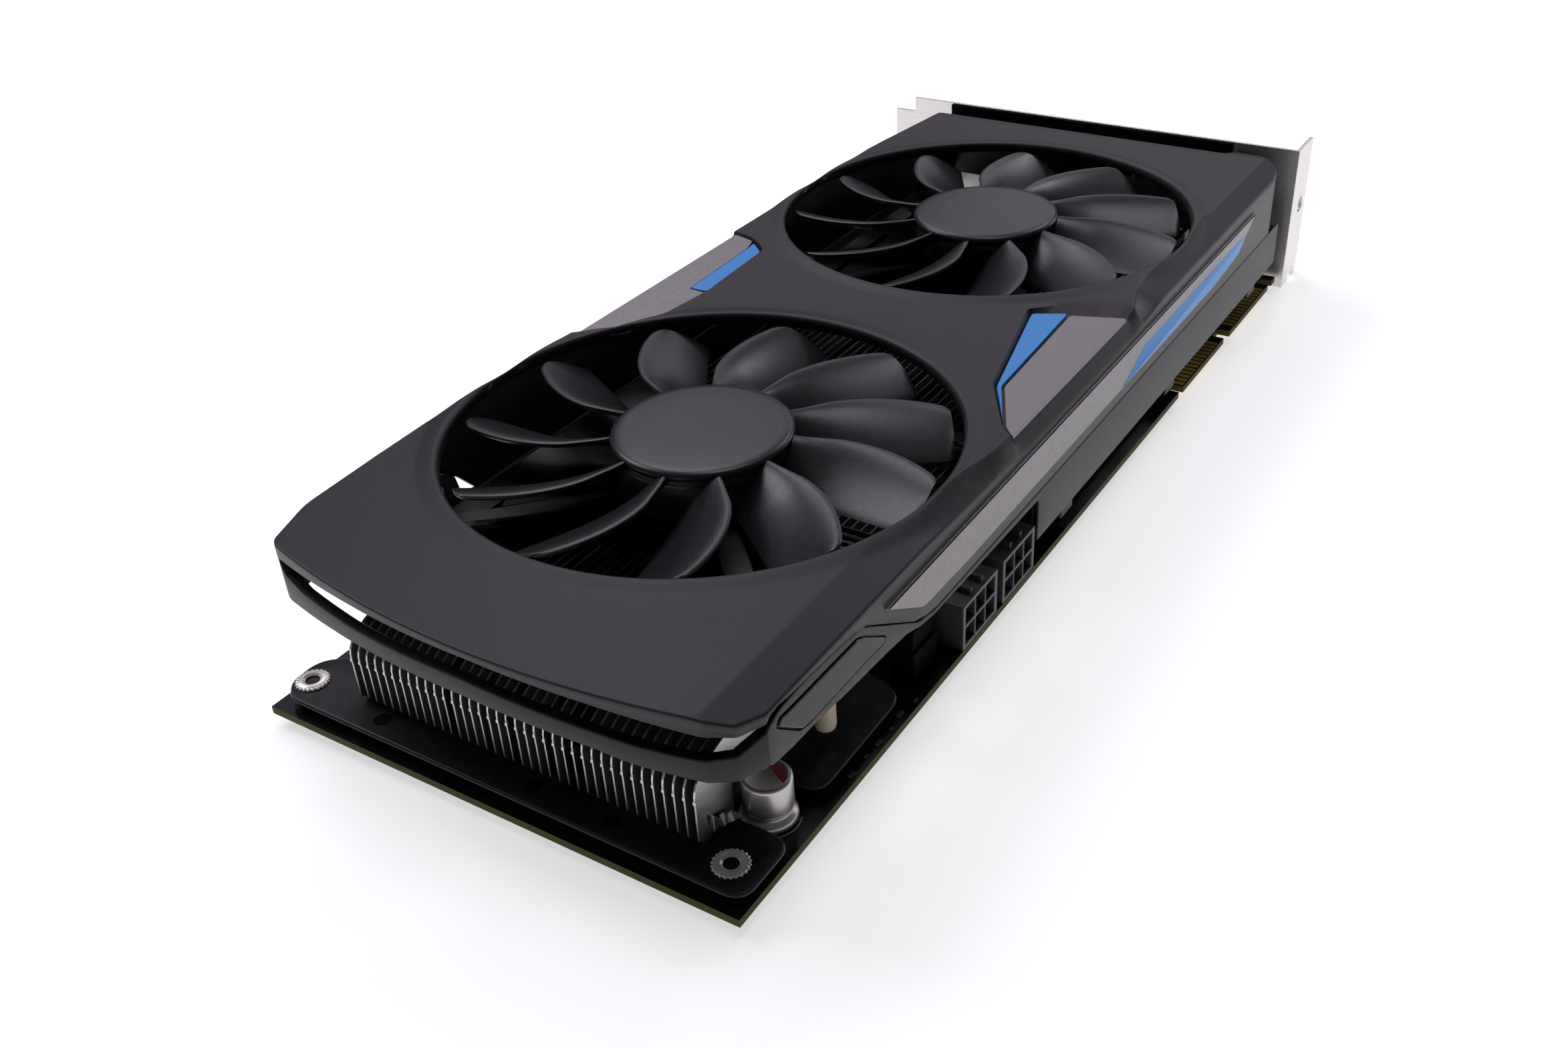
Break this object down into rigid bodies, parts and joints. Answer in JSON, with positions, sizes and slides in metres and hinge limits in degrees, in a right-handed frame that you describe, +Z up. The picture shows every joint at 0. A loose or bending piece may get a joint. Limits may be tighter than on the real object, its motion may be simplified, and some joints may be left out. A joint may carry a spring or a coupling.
{
  "type": "graphics card",
  "caption": "Dual-slot expansion card lying on its back: board, finned cooler under a charcoal shroud with axial fans, metal bracket with video sockets and an edge connector.",
  "frame": {"origin": "middle of the part's base, on the surface that the bracket's edge and the soldered leads stand on", "axes": "+X along the card towards the bracket, +Y across it towards the slot's edge connector, +Z up out of the fans"},
  "size_m": [0.2792, 0.1204, 0.0387],
  "materials": {
    "board_black": "satin solder mask",
    "gold_contact": "polished plating",
    "bracket_steel": "plated, matt",
    "socket_metal": "drawn shell",
    "screw_black": "black oxide",
    "substrate_green": "satin",
    "silicon": "polished",
    "chip_black": "moulded",
    "choke_grey": "pressed powder",
    "can_silver": "satin sleeve",
    "connector_black": "moulded",
    "pin_tin": "plated",
    "lead_black": "insulation",
    "plate_black": "satin coat",
    "insert_steel": "turned and knurled",
    "pad_grey": "soft",
    "foam_black": "closed cell",
    "copper_plate": "machined copper",
    "pipe_nickel": "plated",
    "fin_aluminium": "bare sheet",
    "spring_steel": "bare",
    "moulding_charcoal": "fine grain",
    "gloss_black": "high gloss",
    "silver_trim": "satin silver",
    "blue_accent": "satin",
    "badge_grey": "fine brushed",
    "fan_charcoal": "satin",
    "frame_black": "moulded",
    "magnet_dark": "sintered",
    "shaft_steel": "ground",
    "winding_copper": "enamelled wire"
  },
  "bodies": {
    "card": {"pcb": "board_black", "slot_contacts": "gold_contact", "bridge_contacts": "gold_contact", "io_bracket": "bracket_steel", "dvi_socket_lower": "socket_metal", "dvi_socket_upper": "socket_metal", "hdmi_socket": "socket_metal", "display_port_socket": "socket_metal", "dvi_jack_screws": "socket_metal", "bracket_screws": "screw_black", "gpu_package": "substrate_green", "gpu_die": "silicon", "memory_chips": "chip_black", "controller_chips": "chip_black", "power_chokes": "choke_grey", "mosfets": "chip_black", "solid_capacitors": "can_silver", "can_capacitor": "can_silver", "power_socket_a": "connector_black", "power_socket_b": "connector_black", "power_pins": "pin_tin", "fan_header": "connector_black", "fan_plug": "connector_black", "fan_leads": "lead_black", "baseplate": "plate_black", "threaded_inserts": "insert_steel", "baseplate_screws": "screw_black", "thermal_pads": "pad_grey", "cold_plate": "copper_plate", "heat_pipes": "pipe_nickel", "fin_base": "fin_aluminium", "fin_stack": "fin_aluminium", "cooler_springs": "spring_steel", "cooler_screws": "screw_black", "shroud": "moulding_charcoal", "lower_frame": "moulding_charcoal", "end_gasket": "foam_black", "shroud_screws": "screw_black", "side_insert": "gloss_black", "side_strip": "silver_trim", "side_strip_accent": "blue_accent", "badge_plate": "badge_grey", "badge_accent": "blue_accent", "slot_side_strip": "silver_trim", "slot_side_accent": "blue_accent", "fan_1_bearings": "shaft_steel", "fan_1_stator": "winding_copper", "fan_1_frame": "frame_black", "fan_1_screws": "screw_black", "fan_2_bearings": "shaft_steel", "fan_2_stator": "winding_copper", "fan_2_frame": "frame_black", "fan_2_screws": "screw_black"},
    "fan_1": {"fan_1_rotor": "fan_charcoal", "fan_1_magnet_ring": "magnet_dark", "fan_1_shaft": "shaft_steel"},
    "fan_2": {"fan_2_rotor": "fan_charcoal", "fan_2_magnet_ring": "magnet_dark", "fan_2_shaft": "shaft_steel"}
  },
  "joints": [
    {"name": "fan_1_spin", "type": "hinge", "parent": "card", "child": "fan_1", "pos_m": [-0.0659, -0.00435, 0.02587], "axis": [0, 0, 1], "continuous": true},
    {"name": "fan_2_spin", "type": "hinge", "parent": "card", "child": "fan_2", "pos_m": [0.0551, -0.00435, 0.02587], "axis": [0, 0, 1], "continuous": true}
  ]
}
